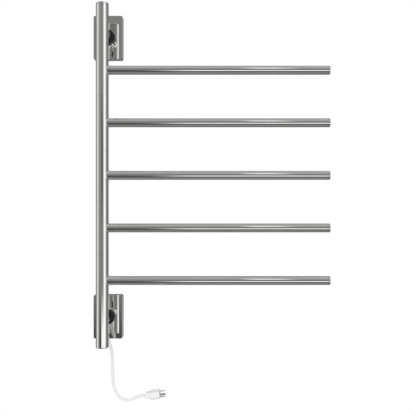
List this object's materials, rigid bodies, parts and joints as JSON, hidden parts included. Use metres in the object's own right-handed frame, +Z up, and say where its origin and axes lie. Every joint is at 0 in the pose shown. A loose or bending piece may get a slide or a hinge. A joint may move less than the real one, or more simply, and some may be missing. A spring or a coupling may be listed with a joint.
{
  "type": "towel warmer rack",
  "caption": "Wall-hung electric towel warmer: a fixed column on two brackets carries heated bars that swivel one by one, with a short cord and plug.",
  "frame": {"origin": "centre of the upper wall plate's rear face, on the wall", "axes": "+Y into the wall, +Z up the column, +X along the bars at rest"},
  "size_m": [0.5365, 0.104, 0.8996],
  "materials": {
    "polished_chrome": "mirror polished",
    "mounting_steel": "plain steel",
    "screw_steel": "plain steel",
    "black_plastic": "satin moulded",
    "bearing_plastic": "satin moulded",
    "heater_sheath": "drawn tube",
    "wire_insulation": "matt silicone",
    "white_plastic": "satin moulded",
    "plug_metal": "bright plated"
  },
  "bodies": {
    "wall_frame": {"wall_plate_upper": "mounting_steel", "cover_upper": "polished_chrome", "collar_upper": "black_plastic", "post_upper": "polished_chrome", "grub_screw_upper": "screw_steel", "wall_plate_lower": "mounting_steel", "cover_lower": "polished_chrome", "collar_lower": "black_plastic", "post_lower": "polished_chrome", "grub_screw_lower": "screw_steel", "column_top": "polished_chrome", "column_cap_top": "polished_chrome", "core_ring_top": "mounting_steel", "core_screw_top": "screw_steel", "column_bottom": "polished_chrome", "column_cap_bottom": "polished_chrome", "core_ring_bottom": "mounting_steel", "core_screw_bottom": "screw_steel", "core_tube": "mounting_steel", "wiring_harness": "wire_insulation", "strain_relief": "white_plastic", "power_cord": "white_plastic", "plug_body": "white_plastic", "plug_blade_live": "plug_metal", "plug_blade_neutral": "plug_metal", "plug_ground_pin": "plug_metal"},
    "arm_1": {"sleeve_1": "polished_chrome", "bush_upper_1": "bearing_plastic", "bush_lower_1": "bearing_plastic", "bar_1": "polished_chrome", "bar_cap_1": "polished_chrome", "heating_element_1": "heater_sheath"},
    "arm_2": {"sleeve_2": "polished_chrome", "bush_upper_2": "bearing_plastic", "bush_lower_2": "bearing_plastic", "bar_2": "polished_chrome", "bar_cap_2": "polished_chrome", "heating_element_2": "heater_sheath"},
    "arm_3": {"sleeve_3": "polished_chrome", "bush_upper_3": "bearing_plastic", "bush_lower_3": "bearing_plastic", "bar_3": "polished_chrome", "bar_cap_3": "polished_chrome", "heating_element_3": "heater_sheath"},
    "arm_4": {"sleeve_4": "polished_chrome", "bush_upper_4": "bearing_plastic", "bush_lower_4": "bearing_plastic", "bar_4": "polished_chrome", "bar_cap_4": "polished_chrome", "heating_element_4": "heater_sheath"},
    "arm_5": {"sleeve_5": "polished_chrome", "bush_upper_5": "bearing_plastic", "bush_lower_5": "bearing_plastic", "bar_5": "polished_chrome", "bar_cap_5": "polished_chrome", "heating_element_5": "heater_sheath"}
  },
  "joints": [
    {"name": "swivel_1", "type": "hinge", "parent": "wall_frame", "child": "arm_1", "pos_m": [0, -0.09, -0.094], "axis": [0, 0, -1], "range_deg": [0, 180]},
    {"name": "swivel_2", "type": "hinge", "parent": "wall_frame", "child": "arm_2", "pos_m": [0, -0.09, -0.21], "axis": [0, 0, -1], "range_deg": [0, 180]},
    {"name": "swivel_3", "type": "hinge", "parent": "wall_frame", "child": "arm_3", "pos_m": [0, -0.09, -0.326], "axis": [0, 0, -1], "range_deg": [0, 180]},
    {"name": "swivel_4", "type": "hinge", "parent": "wall_frame", "child": "arm_4", "pos_m": [0, -0.09, -0.442], "axis": [0, 0, -1], "range_deg": [0, 180]},
    {"name": "swivel_5", "type": "hinge", "parent": "wall_frame", "child": "arm_5", "pos_m": [0, -0.09, -0.558], "axis": [0, 0, -1], "range_deg": [0, 180]}
  ]
}
